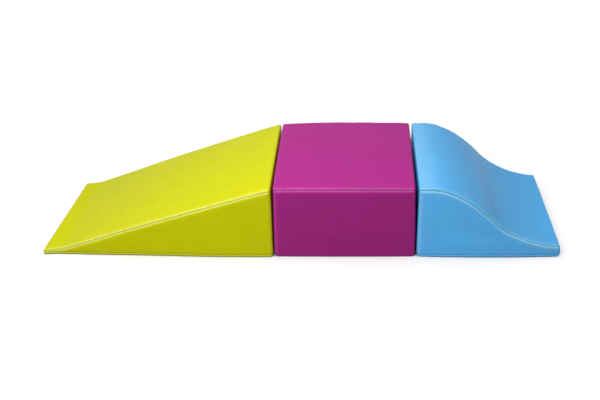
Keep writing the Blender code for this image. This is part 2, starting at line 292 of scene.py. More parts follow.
class Module:
    """A module's name and form. The outline is kept as the top line and as the line of the edge circles'
    centres, one edge radius inside it, with the top's lean there."""

    def __init__(
        self, name, x, top, left_bow, right_bow, foot_bow, corners, seam_shift, front=0, narrowing=0, skew=0
    ):
        self.name = name
        self.x = x
        self.top = top
        self.left_bow = left_bow
        self.right_bow = right_bow
        self.foot_bow = foot_bow
        self.corners = corners
        self.seam_shift = seam_shift
        self.front = front + 0 * top[:, 0]
        self.narrowing = narrowing
        self.skew = skew
        self.stitch_lines = []
        self.length = top[-1, 0] - top[0, 0]
        ahead = unit(np.gradient(top, axis=0))
        normal = stacked(-ahead[:, 1], ahead[:, 0])
        inner = top - EDGE * normal
        low = top[0, 0] + EDGE
        high = top[-1, 0] - EDGE
        kept = (inner[:, 0] > low) & (inner[:, 0] < high)
        self.line_x = np.concatenate([[low], inner[kept, 0], [high]])
        self.line_z, across, up = (
            np.interp(self.line_x, inner[:, 0], values) for values in (inner[:, 1], *normal.T)
        )
        self.lean = np.arctan2(across, up)
        steps = np.hypot(np.diff(self.line_x), np.diff(self.line_z))
        self.run = np.concatenate([[0.0], np.cumsum(steps)])

    def along(self, run):
        """Centres (x, z) and the top's lean from upright at distances along the centre line."""
        return (np.interp(run, self.run, values) for values in (self.line_x, self.line_z, self.lean))

    def shift(self, x, from_seam, room):
        """How much lower on the front a point lies for the shift of the long seam there. It fades out
        away from the seam over the reach, or over the room that there is."""
        places, amounts = zip(*self.seam_shift)
        faded = smooth(from_seam / np.minimum(SEAM_SHIFT_REACH, room), 0, 1)
        return np.interp(x, places, amounts) * (1 - faded)

    def fit(self, points):
        """Carries points of the straight rounded prism to the module. The top rises by a bow over the
        length and one over the depth, the sides and ends swell by theirs, thin foam bows less, the
        front's foot swells too and the front stands forward by its own line, the ends are tucked in at
        the floor and squeezed beside their upright seams, the top's corners stand in or out along X and
        up at the back by each one's own amount, the plan narrows and slants evenly to the far end, and
        the whole moves along X."""
        x, y, z = np.moveaxis(points, -1, 0)
        height = np.interp(x, self.top[:, 0], self.top[:, 1])
        along = np.clip(2 * (x - self.top[0, 0]) / self.length - 1, -1, 1)
        over = y / BACK
        firm = smooth(height, 0, FIRM_HEIGHT)
        upper = smooth(z, *FOOT_HEIGHTS)
        rise = firm * (LENGTH_BOW * bow(along) + DEPTH_BOW * bow(over)) * z / height
        swell = SIDE_BOW * firm * bow(along) * upper * over
        swell = swell + self.foot_bow * bow(along) * (1 - upper) * np.minimum(over, 0)
        ends = self.right_bow * np.maximum(along, 0) ** 3 - self.left_bow * np.maximum(-along, 0) ** 3
        ends = ends * bow(over) * bow(2 * z / height - 1)
        to_end = self.length / 2 * (1 - np.abs(along))
        tuck = TUCK * (1 - smooth(z, *TUCK_HEIGHTS)) * (1 - smooth(to_end, 0, TUCK_LENGTH))
        squeeze = SQUEEZE * smooth(to_end, *SQUEEZE_RISE) * (1 - smooth(to_end, *SQUEEZE_FALL))
        ends = ends + np.sign(along) * (squeeze - tuck)
        behind = np.clip(0.5 + over / 2, 0, 1)
        for way, (front, back, up) in zip((-1, 1), self.corners):
            near = smooth(z / height, 0.2, 1) * np.maximum(way * along, 0) ** 3
            ends = ends + way * (front + (back - front) * behind) * near
            rise = rise + up * behind**2 * near
        swell = swell - np.interp(x, self.top[:, 0], self.front) * (1 - behind)
        far = np.abs(x) / self.length
        slant = self.skew * far * over
        return stacked(
            x + ends + slant + self.x, (y + swell) * (1 - self.narrowing * far), np.maximum(z + rise, 0)
        )


def wedge_line():
    """A nearly level toe and a straight ramp. The slope passes smoothly from one to the other."""
    toe_fall, toe_length = 0.0085, 0.075
    ramp_foot, ramp_length = 0.029, 0.830
    bend_start, bend_end = -0.850, -0.810
    x = np.linspace(-WEDGE_LENGTH, 0, 4001)
    toe_slope = toe_fall / toe_length
    ramp_slope = (HEIGHT - ramp_foot) / ramp_length
    slope = toe_slope + (ramp_slope - toe_slope) * smooth(x, bend_start, bend_end)
    z = np.concatenate([[0.0], np.cumsum((slope[1:] + slope[:-1]) / 2 * np.diff(x))])
    return stacked(x, z - z[-1] + HEIGHT)


def bezier(start, handle, end_handle, end, count=1500):
    """A cubic Bezier piece, without its first point."""
    t = np.linspace(0, 1, count)[1:, None]
    s = 1 - t
    return start * s**3 + handle * 3 * s * s * t + end_handle * 3 * s * t * t + end * t**3


def wave_line():
    """A level crest, then two Bezier pieces that meet on a steep straight run and end on a level tail."""
    crest_length, turn_x, turn_fall, tail_height, steepness = 0.053, 0.302, 0.1435, 0.052, 1.08
    crest_handle, turn_handles, tail_handle = 0.053, (0.144, 0.102), 0.067
    run = np.array([1, -steepness]) / math.hypot(1, steepness)
    level = np.array([1, 0])
    crest = np.array([crest_length, HEIGHT])
    turn = np.array([turn_x, HEIGHT - turn_fall])
    tail = np.array([WAVE_LENGTH, tail_height])
    flat = stacked(np.linspace(0, crest_length, 200), HEIGHT)
    upper = bezier(crest, crest + level * crest_handle, turn - run * turn_handles[0], turn)
    lower = bezier(turn, turn + run * turn_handles[1], tail - level * tail_handle, tail)
    return np.concatenate([flat, upper, lower])


# The corners' shares are along X at the front, along X at the back, and up at the back. A seam shift is
# how much lower on the front the long seam lies, at places along the module.
ramp = wedge_line()
wedge = Module(
    "wedge",
    x=-0.1115,
    top=ramp,
    left_bow=-0.004,
    right_bow=0.0025,
    foot_bow=0.006,
    corners=((-0.0035, 0, 0), (0.003, -0.005, 0)),
    seam_shift=((-0.88, 0.0), (-0.80, 0.002), (-0.12, 0.0015), (0, 0.004)),
    front=0.008 * (1 - smooth(ramp[:, 0], -0.905, -0.83)) + 0.005 * smooth(ramp[:, 0], -0.55, -0.15),
    narrowing=1 - 0.560 / DEPTH,
    skew=0.008,
)
block = Module(
    "block",
    x=0.1695,
    top=stacked(np.linspace(-BLOCK_LENGTH / 2, BLOCK_LENGTH / 2, 601), HEIGHT),
    left_bow=0.0025,
    right_bow=0.003,
    foot_bow=0.002,
    corners=((-0.0055, 0.0045, -0.0025), (-0.005, -0.001, 0.003)),
    seam_shift=((-0.275, 0.0053), (0.275, 0.0053)),
)
wave = Module(
    "wave",
    x=0.4515,
    top=wave_line(),
    left_bow=0.003,
    right_bow=0,
    foot_bow=0.008,
    corners=((-0.0015, -0.003, 0.0025), (-0.0055, 0, 0)),
    seam_shift=(
        (0, 0.0056), (0.09, 0.0068), (0.17, 0.0078), (0.25, 0.0118), (0.33, 0.0090), (0.38, 0.002), (0.49, 0)
    ),
)
modules = (wedge, block, wave)


def group_tree(name, given, made):
    """A new shader node group, with these numbers given by their defaults and these numbers put out."""
    tree = bpy.data.node_groups.new(name, "ShaderNodeTree")
    for label, value in given.items():
        tree.interface.new_socket(label, in_out="INPUT", socket_type="NodeSocketFloat").default_value = value
    for label in made:
        tree.interface.new_socket(label, in_out="OUTPUT", socket_type="NodeSocketFloat")
    return tree, tree.nodes.new("NodeGroupInput").outputs, tree.nodes.new("NodeGroupOutput")


def texture(tree, kind, scale, values=None, **settings):
    """A texture node's outputs, on the object's own coordinates."""
    place = add_node(tree, "ShaderNodeTexCoord").outputs["Object"]
    return add_node(tree, kind, {"Vector": place, "Scale": scale, **(values or {})}, **settings).outputs


def grain_group():
    """Leather grain: rounded cells with valleys between them, and finer noise on top, as a height."""
    numbers = {"Cells per metre": 700.0, "Fineness": 0.35}
    tree, given, made = group_tree("Leather grain", numbers, ("Height", "Valleys"))
    density = given["Cells per metre"]
    to_edge = texture(tree, "ShaderNodeTexVoronoi", density, feature="DISTANCE_TO_EDGE")["Distance"]
    dome = math_node(tree, "SMOOTH_MIN", to_edge, 0.30, 0.20)
    finer = math_node(tree, "MULTIPLY", density, 2.6)
    noise = texture(tree, "ShaderNodeTexNoise", finer, {"Detail": 2})["Fac"]
    speck = math_node(tree, "MULTIPLY", noise, given["Fineness"])
    height = math_node(tree, "ADD", math_node(tree, "MULTIPLY", dome, 3.0), speck)
    valley = math_node(tree, "SUBTRACT", 1.0, math_node(tree, "MULTIPLY", to_edge, 8.0))
    feed(tree, made, {"Height": height, "Valleys": math_node(tree, "MAXIMUM", valley, 0.0)})
    return tree


def mottling_group():
    """Uneven colour over a surface: two sizes of soft noise, put together between -1 and 1."""
    tree, given, made = group_tree("Soft mottling", {"Patches per metre": 12.0}, ("Amount",))
    total = 0.0
    for factor, weight in ((1.0, 1.6), (6.0, 0.8)):
        scale = math_node(tree, "MULTIPLY", given["Patches per metre"], factor)
        patches = texture(tree, "ShaderNodeTexNoise", scale, {"Detail": 2})["Fac"]
        part = math_node(tree, "MULTIPLY", math_node(tree, "SUBTRACT", patches, 0.5), weight)
        total = math_node(tree, "ADD", total, part)
    feed(tree, made, {"Amount": total})
    return tree


leather_grain = grain_group()
soft_mottling = mottling_group()


def new_material(name, specular, metallic=0.0):
    """A material with one Principled shader, its tree and that shader."""
    made = bpy.data.materials.new(name)
    made.use_nodes = True
    shader = made.node_tree.nodes["Principled BSDF"]
    feed(made.node_tree, shader, {"Specular IOR Level": specular, "Metallic": metallic})
    return made, made.node_tree, shader


def mottled(tree, patches):
    """The soft mottling of a material, with this many patches per metre."""
    values = {"Patches per metre": patches}
    return add_node(tree, "ShaderNodeGroup", values, node_tree=soft_mottling).outputs["Amount"]


def mixed(tree, factor, a, b):
    """A mix of two colours."""
    values = {"Factor": factor, "A": a, "B": b}
    return add_node(tree, "ShaderNodeMix", values, data_type="RGBA").outputs["Result"]


def bumped(tree, height, strength, distance):
    """The normal of a surface that stands out by a height times a distance."""
    values = {"Height": height, "Strength": strength, "Distance": distance}
    return add_node(tree, "ShaderNodeBump", values).outputs["Normal"]


def leatherette(name, colour, light_band_tone, roll, depth):
    """Satin leatherette: mottled colour with a fine pebbled grain, and painted light mixed in: a lighter
    band near the seams, a painted highlight on the rolled edge beside a seam, painted shade in the seam's
    fold, and a painted light level that makes each panel lighter or darker as a whole."""
    made, tree, shader = new_material(name, specular=0.02)
    mottle = mottled(tree, patches=14.0)
    values = {"Cells per metre": 760.0, "Fineness": 0.35}
    grain = add_node(tree, "ShaderNodeGroup", values, node_tree=leather_grain).outputs
    darker = tuple(0.94 * c for c in colour)
    lighter = tuple(min(1.05 * c, 1) for c in colour)
    base = mixed(tree, math_node(tree, "MULTIPLY_ADD", mottle, 0.5, 0.5), darker, lighter)
    # Painted light, each mixed in by its mask: a lighter band, a highlight on the rolled edge and shade in
    # the seam's fold
    for mask, tone in (("stretch", light_band_tone), ("roll", roll), ("fold", depth)):
        amount = add_node(tree, "ShaderNodeAttribute", attribute_name=mask).outputs["Fac"]
        base = mixed(tree, amount, base, tone)
    base = mixed(tree, math_node(tree, "MULTIPLY", grain["Valleys"], 0.12), base, depth)
    # Painted light: each panel is made lighter or darker as a whole by its painted light level.
    dye = add_node(tree, "ShaderNodeAttribute", attribute_name="dye").outputs["Fac"]
    lit_colour = add_node(tree, "ShaderNodeHueSaturation", {"Value": dye, "Color": base}).outputs["Color"]
    gloss = math_node(tree, "MULTIPLY_ADD", mottle, 0.05, 0.30)
    normal = bumped(tree, grain["Height"], strength=0.35, distance=0.00012)
    feed(tree, shader, {"Base Color": lit_colour, "Roughness": gloss, "Normal": normal})
    return made


# The tones are for the plain cover, for the painted light band, for the painted highlight on the rolled
# edge and for the painted shade in the seam's fold.
LIME = ((0.650, 0.664, 0.004), (0.95, 0.97, 0.01), (0.98, 0.98, 0.42), (0.30, 0.30, 0.0))
MAGENTA = ((0.40, 0.026, 0.236), (0.70, 0.043, 0.42), (0.80, 0.20, 0.60), (0.15, 0.004, 0.08))
BLUE = ((0.116, 0.495, 0.945), (0.38, 0.73, 0.94), (0.40, 0.88, 1.0), (0.07, 0.34, 0.78))
# The last two numbers are painted light levels that make the top panel and the other panels lighter or
# darker as a whole.
for module, colour, tones, top_dye, side_dye in (
    (wedge, "Lime", LIME, 1.05, 1.01),
    (block, "Magenta", MAGENTA, 1.125, 0.99),
    (wave, "Blue", BLUE, 0.99, 1.10),
):
    module.cover = leatherette(f"{colour} leatherette", *tones)
    module.cover_slot = f"{colour.lower()}_leatherette"
    module.top_dye = top_dye
    module.side_dye = side_dye


def grid_faces(rows, columns, wrap=False):
    """The quads between neighbouring points of a grid. With wrap, the last column joins the first."""
    start = np.arange(rows - 1)[:, None] * columns
    column = np.arange(columns if wrap else columns - 1)
    first = start + column
    second = start + (column + 1) % columns
    return np.stack([first, second, second + columns, first + columns], axis=-1).reshape(-1, 4)


def add_piece(name, points, faces, finish):
    """A smooth mesh object with its place in its mesh."""
    mesh = bpy.data.meshes.new(name)
    corners = faces if isinstance(faces, list) else faces.tolist()
    mesh.from_pydata(points.reshape(-1, 3).tolist(), [], corners)
    mesh.shade_smooth()
    mesh.materials.append(finish)
    return add_object(name, mesh)


def thicken(piece, thickness):
    """Gives a sheet its thickness, inwards."""
    wall = piece.modifiers.new("Thickness", "SOLIDIFY")
    wall.thickness = thickness
    wall.offset = -1


def weld(mesh, distance, closed=False):
    """Joins the points that lie this close together, and turns a closed mesh's faces outward."""
    joined = bmesh.new()
    joined.from_mesh(mesh)
    bmesh.ops.remove_doubles(joined, verts=joined.verts, dist=distance)
    if closed:
        bmesh.ops.recalc_face_normals(joined, faces=joined.faces)
    joined.to_mesh(mesh)
    joined.free()


def outward(points, faces, out):
    """Turns the faces round if most of them point against the outward direction at their first corner."""
    a, b, c = (points.reshape(-1, 3)[faces[:, i]] for i in (0, 1, 3))
    agrees = (np.cross(b - a, c - a) * out.reshape(-1, 3)[faces[:, 0]]).sum(axis=1) > 0
    return faces if agrees.mean() > 0.5 else faces[:, ::-1]


def cover_panel(
    module, label, centres, out, seams, stitched=(), faces=None, lift=0.0, painted_sheen=0.0
):
    """One panel of a cover. A point is its edge circle's centre plus the outward direction times the edge
    radius, the draw of the seams and a soft unevenness, fitted to the module. seams are pairs of
    distance and kind. The leatherette's thickness lies inwards. stitched picks the lines of the grid
    that a row of stitches follows, and a painted highlight can be given that lightens the panel away from
    the seams."""
    uneven = sum(amount * ripple(centres + module.x, length, seed) for amount, length, seed in UNEVEN)
    pucker = 1 + PUCKER[0] * ripple(centres + 0.5 * out * EDGE, *PUCKER[1:])
    puff = strongest(seams, 0, lambda d: hump(d, PUFF_REACH))
    lift = lift + seam_pull(seams) + uneven + PUFF * pucker * puff
    points = module.fit(centres + out * (EDGE + lift)[..., None])
    if faces is None:
        faces = grid_faces(*points.shape[:2])
    faces = outward(points, faces, out)
    panel = add_piece(f"{module.name}_{label}_cover_panel", points, faces, module.cover)
    thicken(panel, COVER)
    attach(panel, module.name)
    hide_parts(f"{module.name}_{label}_panel")
    module.stitch_lines += [(points[line], out[line]) for line in stitched]
    # The masks of painted light: a highlight on the rolled edge beside each seam with painted glints along
    # it, a lighter band round the seams or where a painted highlight is given, painted shade in each seam's
    # fold, and the panel's painted light level.
    highlight_width, highlight_share, light_band_share = TOP_HIGHLIGHT if label == "top" else SIDE_HIGHLIGHT
    glint = 0.92 + GLINT[0] * ripple(centres, *GLINT[1:])
    roll = highlight_share * strongest(seams, 1, lambda d: np.exp(-((d / highlight_width) ** 2)))
    near = strongest(seams, 1, lambda d: np.exp(-((np.maximum(d, 0) / LIGHT_BAND_WIDTH) ** 1.3)))
    masks = {
        "stretch": np.maximum(light_band_share * near, painted_sheen),
        "roll": np.clip(roll * glint, 0, 1),
        "fold": FOLD_SHADE * strongest(seams, 2, lambda d: np.exp(-d / FOLD_SHADE_WIDTH)),
        "dye": np.full(near.shape, module.top_dye if label == "top" else module.side_dye),
    }
    for mask, values in masks.items():
        attribute = panel.data.attributes.new(mask, "FLOAT", "POINT")
        attribute.data.foreach_set("value", values.astype(np.float32).ravel())
    return panel


def nearest_line(distances, place=STITCHED):
    """Which of these distances is nearest to a place, which is where a seam is stitched unless given."""
    return int(np.abs(distances - place).argmin())


def across_depth(reach):
    """Places across the depth, with a wrap of this angle over both long edges."""
    half = INNER_BACK + EDGE * reach
    return from_seams(2 * (half + SEAM_LAP), CROSS_STEP) - half - SEAM_LAP


def top_panel(module):
    """The panel over the top. Its rows follow the centre line, and on the wedge they start at the toe's
    base seam, go up the toe and round its upper edge. Its columns go across and round the long edges."""
    place = across_depth(WRAP)
    to_side = INNER_BACK + EDGE * WRAP - np.abs(place)
    up_toe = module.line_z[0] - BASE_SEAM
    turn = QUARTER + module.lean[0]
    before = up_toe + EDGE * turn if module is wedge else 0
    total = before + module.run[-1]
    run = from_seams(total + 2 * SEAM_LAP, STEP) - SEAM_LAP
    x, z, lean = module.along(run - before)
    if module is wedge:
        on_toe = run < before
        z = np.where(on_toe, np.minimum(BASE_SEAM + run, module.line_z[0]), z)
        lean = np.where(on_toe, np.clip((run - up_toe) / EDGE, 0, turn) - QUARTER, lean)
    x, z, lean, run = (values[:, None] for values in (x, z, lean, run))
    # The way across goes over the top, round the edge and, where the seam lies low, straight down.
    across = place - module.shift(x, to_side, 1.0) * (place < 0)
    y = np.clip(across, -INNER_BACK, INNER_BACK)
    wrap = np.clip((across - y) / EDGE, -QUARTER, QUARTER)
    below = np.maximum(np.abs(across - y) - EDGE * QUARTER, 0)
    centres = stacked(x, y, z - below)
    out = stacked(np.sin(lean) * np.cos(wrap), np.sin(wrap), np.cos(lean) * np.cos(wrap))
    first_seam = BASE_LINE if module is wedge else CROSS_SEAM
    seams = [(run, first_seam), (total - run, CROSS_SEAM), (to_side, LONG_SEAM)]
    beside = nearest_line(to_side[: len(place) // 2])
    stitched = (np.s_[:, beside], np.s_[:, -1 - beside])
    # A painted highlight lightens the wave's crest beside its high end.
    past_crest = np.maximum(centres[..., 0] - CREST_END, 0)
    painted_sheen = CREST_HIGHLIGHT * np.exp(-past_crest / CREST_FADE) if module is wave else 0.0
    cover_panel(module, "top", centres, out, seams, stitched, painted_sheen=painted_sheen)


for module in modules:
    top_panel(module)

# Side panels: one at the front and one at the back of each module, cut to its outline and sewn to the top
# panel along the upper edge, to the end panels beside the upright edges and to the base panel at the foot.
# The one at the back has a long slot for the zip, whose edges are turned in.
SLOT_LOW = 0.0165
SLOT_HIGH = 0.0315
SLOT_TURN = 0.0013
SLOT_TURN_WIDTH = 0.0006
SLOT_RUNS = {"wedge": (-0.6918, -0.045), "block": (-0.230, 0.230), "wave": (0.045, 0.45436)}
SLOT_STITCHES = (SLOT_HIGH + 0.0022, SLOT_LOW - 0.0026)
BESIDE_SLOT = np.array([0, 0.0003, 0.0007, 0.0013, 0.0022, 0.0036])
SLOT_MARGIN = 0.003
# How far up the low rows and down the high rows reach, and the room beyond at which they close up
LOW_ROWS = 0.0225
HIGH_ROWS = 0.026
LOW_ROOM = 0.014
HIGH_ROOM = 0.006
MIDDLE_STEP = 1.6 * STEP


def with_slot(places, low, high):
    """Places with lines put in at and beside a slot from low to high, and those taken out that lie within
    0.8 mm of one."""
    lines = np.concatenate([low - BESIDE_SLOT, high + BESIDE_SLOT])
    apart = np.abs(places[:, None] - lines).min(axis=1) > 0.0008
    apart[[0, -1]] = True
    return np.unique(np.concatenate([places[apart], lines]))


def side_panel(module, side):
    """The panel at the front (-1) or the back (1). Its columns run along the module, on the wedge from
    round the toe's corner. Its rows keep their distance from the base seam low down and from the upper
    seam high up, and towards the toe and the tail they close up, the high ones first, so that the slot
    stays straight. Near an edge it leans towards it, and round the toe's corner two leans join in a fan."""
    left, right = module.line_x[[0, -1]]
    slot_left, slot_right = SLOT_RUNS[module.name]
    toe_turn = EDGE * SEAM_LEAN if module is wedge else 0
    total = toe_turn + right - left
    column = from_seams(total + 2 * SEAM_LAP, STEP) - SEAM_LAP
    rows = from_seams(0.100, STEP)
    low_rows = rows[rows < LOW_ROWS]
    high_rows = rows[rows < HIGH_ROWS][::-1]
    if side > 0:
        column = with_slot(column, slot_left - left + toe_turn, slot_right - left + toe_turn)
        first_row = BASE_SEAM - SEAM_LAP
        low_rows = with_slot(low_rows, SLOT_LOW - first_row, SLOT_HIGH - first_row)
    x = left + np.maximum(column - toe_turn, 0)
    top_z = np.interp(x, module.line_x, module.line_z)
    height = top_z - BASE_SEAM + EDGE * SEAM_LEAN
    count = math.ceil((height.max() - low_rows[-1] - high_rows[0]) / MIDDLE_STEP)
    x, column, top_z, height = (values[:, None] for values in (x, column, top_z, height))
    room = height + 2 * SEAM_LAP
    low_part = low_rows * np.minimum(1, room / (low_rows[-1] + LOW_ROOM))
    high_part = room - high_rows * np.minimum(1, (room - low_part[:, -1:]) / (high_rows[0] + HIGH_ROOM))
    middle = low_part[:, -1:] + (high_part[:, :1] - low_part[:, -1:]) * np.linspace(0, 1, count + 1)[1:-1]
    row = np.concatenate([low_part, middle, high_part], axis=1) - SEAM_LAP
    to_top = height - row
    lowered = row - module.shift(x, to_top, 0.8 * height) * (side < 0)
    z = np.minimum(BASE_SEAM + lowered, np.maximum(top_z, BASE_SEAM))
    up_lean = np.maximum(lowered - (height - EDGE * SEAM_LEAN), 0) / EDGE
    toe_lean = np.maximum(toe_turn - column, 0) / EDGE
    lean = np.maximum(up_lean, toe_lean)
    share = up_lean / np.maximum(up_lean + toe_lean, 1e-9)
    fan = (module.lean[0] + QUARTER) * share - QUARTER
    edge_way = np.where(toe_lean > 0, fan, np.interp(x, module.line_x, module.lean))
    out = stacked(np.sin(lean) * np.sin(edge_way), side * np.cos(lean), np.sin(lean) * np.cos(edge_way))
    centres = stacked(x, side * INNER_BACK, z)
    seams = [(row, BASE_LINE), (total - column, RIGHT_SEAM)]
    stitched = [np.s_[:, nearest_line(row[-1])], np.s_[nearest_line(total - column)]]
    if module is wedge:
        seams.append((np.minimum(to_top, column), LONG_SEAM))
    else:
        seams += [(to_top, LONG_SEAM), (column, LEFT_SEAM)]
        stitched.append(np.s_[nearest_line(column)])
    faces = grid_faces(*row.shape)
    lift = 0.0
    if side > 0:
        foot_z = BASE_SEAM + row
        beyond = np.maximum(np.maximum(slot_left - x, x - slot_right), 0)
        above = np.maximum(np.maximum(SLOT_LOW - foot_z, foot_z - SLOT_HIGH), 0)
        to_slot = np.hypot(beyond, above)
        lift = -SLOT_TURN * np.exp(-to_slot / SLOT_TURN_WIDTH)
        inside = (to_slot < 1e-6).ravel()
        faces = faces[~inside[faces].all(axis=1)]
        # Two more rows of stitches hold the zip tapes, one above the slot and one below it.
        within = np.flatnonzero((x > slot_left - SLOT_MARGIN) & (x < slot_right + SLOT_MARGIN))
        for stitch_z in SLOT_STITCHES:
            line = nearest_line(first_row + low_rows, stitch_z)
            stitched.append(np.s_[within[0] : within[-1] + 1, line])
    label = "front" if side < 0 else "back"
    cover_panel(module, label, centres, out, seams, stitched, faces, lift)


for module in modules:
    side_panel(module, -1)
    side_panel(module, 1)

# End panels: the block and the wave have one at each end, the wedge at its high end. Each covers the end
# face and the edges and corners round it, so its seams lie on the top and on the side faces.
END_STEP = 0.008


def end_panel(module, side):
    """The panel over an end. Its corner is a patch of a sphere between the end's, the side's and the
    top's directions, which are mixed by how far round the two edges a point lies."""
    corner = 0 if side < 0 else -1
    centre_z = module.line_z[corner]
    lean = module.lean[corner]
    top_way = np.array([math.sin(lean), 0, math.cos(lean)])
    square = side * np.array([math.cos(lean), 0, -math.sin(lean)])
    turn = QUARTER - side * lean
    place = across_depth(QUARTER)
    y = np.clip(place, -INNER_BACK, INNER_BACK)
    beside = np.abs((place - y) / EDGE)
    total = centre_z - BASE_SEAM + EDGE * turn
    row = (from_seams(total + 2 * SEAM_LAP, END_STEP) - SEAM_LAP)[:, None]
    z = np.minimum(BASE_SEAM + row, centre_z)
    over = np.maximum(BASE_SEAM + row - centre_z, 0) / EDGE
    a = (np.sin(beside) / (np.sin(beside) + np.cos(beside)))[:, None]
    b = (np.sin(over) / (np.sin(over) + np.sin(turn - over)))[..., None]
    side_way = np.sign(place)[:, None] * np.array([0, 1, 0])
    at_foot = (1 - a) * (1 - b) * np.array([side, 0, 0]) + a * (1 - b) * side_way
    out = unit(at_foot + (1 - a) * b * top_way + a * b * (side_way + top_way) / math.sqrt(2))
    centres = stacked(module.line_x[corner], y, z)
    in_width = np.maximum(INNER_BACK - np.abs(place), 0)
    in_height = np.maximum(centre_z - z, 0)
    inside = in_width * in_height / np.sqrt(in_width**2 + in_height**2 + 1e-12)
    to_edge = EDGE * np.arcsin(np.clip(out @ square, 0, 1)) + inside
    seams = [(to_edge, LEFT_SEAM if side < 0 else RIGHT_SEAM), (row, BASE_LINE)]
    label = "left_end" if side < 0 else "right_end"
    cover_panel(module, label, centres, out, seams)


end_panel(wedge, 1)
for module in (block, wave):
    end_panel(module, -1)
    end_panel(module, 1)

# Base panels: the leatherette that the module stands on. Each turns up round the lower edge into a low
# rim, which is sewn to the side and end panels just above the floor, and lies flat where it rests.
BASE_STEP = 0.007
BASE_ROWS = 84
RIM_STEP = 0.0016
LEAST_RIM_STEP = 0.0006
CORNER_STEPS = 8


def base_panel(module):
    """The panel underneath: a flat grid, and a rim that goes a quarter round the lower edge. The rim's
    columns go round the plan: along each side, then round the corner at its end."""
    left, right = module.line_x[[0, -1]]
    lengthwise = np.linspace(left, right, math.ceil((right - left) / BASE_STEP))
    widthwise = np.linspace(-INNER_BACK, INNER_BACK, BASE_ROWS)
    sides = (
        stacked(lengthwise, -INNER_BACK),
        stacked(right, widthwise),
        stacked(lengthwise[::-1], INNER_BACK),
        stacked(left, widthwise[::-1]),
    )
    round_corner = np.linspace(0, QUARTER, CORNER_STEPS + 1)[:-1]
    loop = np.concatenate([points[[*range(len(points) - 1), *[-1] * CORNER_STEPS]] for points in sides])
    way = np.concatenate(
        [np.append(np.zeros(len(sides[k]) - 1), round_corner) + (k - 1) * QUARTER for k in range(4)]
    )
    rim_height = BASE_SEAM - EDGE
    rim_total = rim_height + EDGE * QUARTER
    rim = from_seams(2 * rim_total, RIM_STEP) - SEAM_LAP
    rim = np.append(rim[rim < rim_total - LEAST_RIM_STEP], rim_total)[:, None]
    dip = np.maximum(rim - rim_height, 0) / EDGE
    rim_centres = stacked(loop[:, 0], loop[:, 1], np.maximum(BASE_SEAM - rim, EDGE))
    rim_out = stacked(np.cos(way) * np.cos(dip), np.sin(way) * np.cos(dip), -np.sin(dip))
    flat = stacked(lengthwise, widthwise[:, None], EDGE)
    in_width = (INNER_BACK - np.abs(widthwise))[:, None]
    to_rim = np.minimum(np.minimum(lengthwise - left, right - lengthwise), in_width)
    centres = np.concatenate([rim_centres.reshape(-1, 3), flat.reshape(-1, 3)])
    out = np.concatenate([rim_out.reshape(-1, 3), np.tile([0.0, 0.0, -1.0], (to_rim.size, 1))])
    to_seam = np.concatenate([np.repeat(rim, len(loop)), rim_total + to_rim.ravel()])
    rim_faces = grid_faces(len(rim), len(loop), wrap=True)
    faces = np.concatenate([rim_faces, grid_faces(*to_rim.shape) + len(rim) * len(loop)])
    base = cover_panel(module, "base", centres, out, [(to_seam, BASE_LINE)], faces=faces)
    weld(base.data, 1e-5)


for module in modules:
    base_panel(module)

# Foam cores: one block of open-cell foam per module, cut to shape, which the cover is drawn over. It
# doesn't show while the cover is zipped up.
INSET = 0.0055
FOAM_RINGS = 60
FOAM_CORNER = 6
# How large the rings are that close an end, and how many edge radii the foam is thick at least
END_SHARES = (0.0, 0.4, 0.8)
LEAST_THICKNESS = 2.2

# Cut open-cell foam: cream, with small dark pores
foam, tree, shader = new_material("Foam", specular=0.1)
pores = texture(tree, "ShaderNodeTexVoronoi", scale=900)["Distance"]
colour = mixed(tree, pores, (0.52, 0.47, 0.34), (0.86, 0.82, 0.68))
normal = bumped(tree, pores, strength=0.6, distance=0.0004)
feed(tree, shader, {"Base Color": colour, "Roughness": 0.95, "Normal": normal})

corner = np.linspace(0, QUARTER, FOAM_CORNER)
around = np.concatenate([corner + QUARTER * k for k in range(4)])
sign_y = np.repeat([1, -1, -1, 1], FOAM_CORNER)
high = np.repeat([1, 1, 0, 0], FOAM_CORNER)
shrink = np.concatenate([END_SHARES, np.ones(FOAM_RINGS), END_SHARES[::-1]])[:, None]
for module in modules:
    x = np.linspace(module.top[0, 0] + INSET, module.top[-1, 0] - INSET, FOAM_RINGS)
    x = np.pad(x, len(END_SHARES), mode="edge")[:, None]
    top_z = np.interp(x, module.top[:, 0], module.top[:, 1]) - INSET
    radius = np.minimum(EDGE - INSET / 2, (top_z - INSET) / LEAST_THICKNESS)
    y = ((BACK - INSET - radius) * sign_y + radius * np.cos(around)) * shrink
    z = np.where(high, top_z - radius, INSET + radius) + radius * np.sin(around)
    middle = (top_z + INSET) / 2
    points = module.fit(stacked(x, y, middle + (z - middle) * shrink))
    faces = grid_faces(*y.shape, wrap=True)[:, ::-1]
    body = add_piece(f"{module.name}_foam_body", points, faces, foam)
    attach(body, module.name)
    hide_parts(f"{module.name}_foam_core")

# Seam thread: the rows of stitches beside the seams and beside the zip's slot. It is bonded polyester,
# a little paler than the cover, and every stitch dips into the leatherette at both ends.
STITCH_PITCH = 0.0038
STITCH_HALF = 0.0013
# How far in from its seam's ends a row starts, and how far each way a stitch's direction is taken
ROW_MARGIN = 0.004
AIM = 0.0012
THREAD_RADIUS = 0.00036


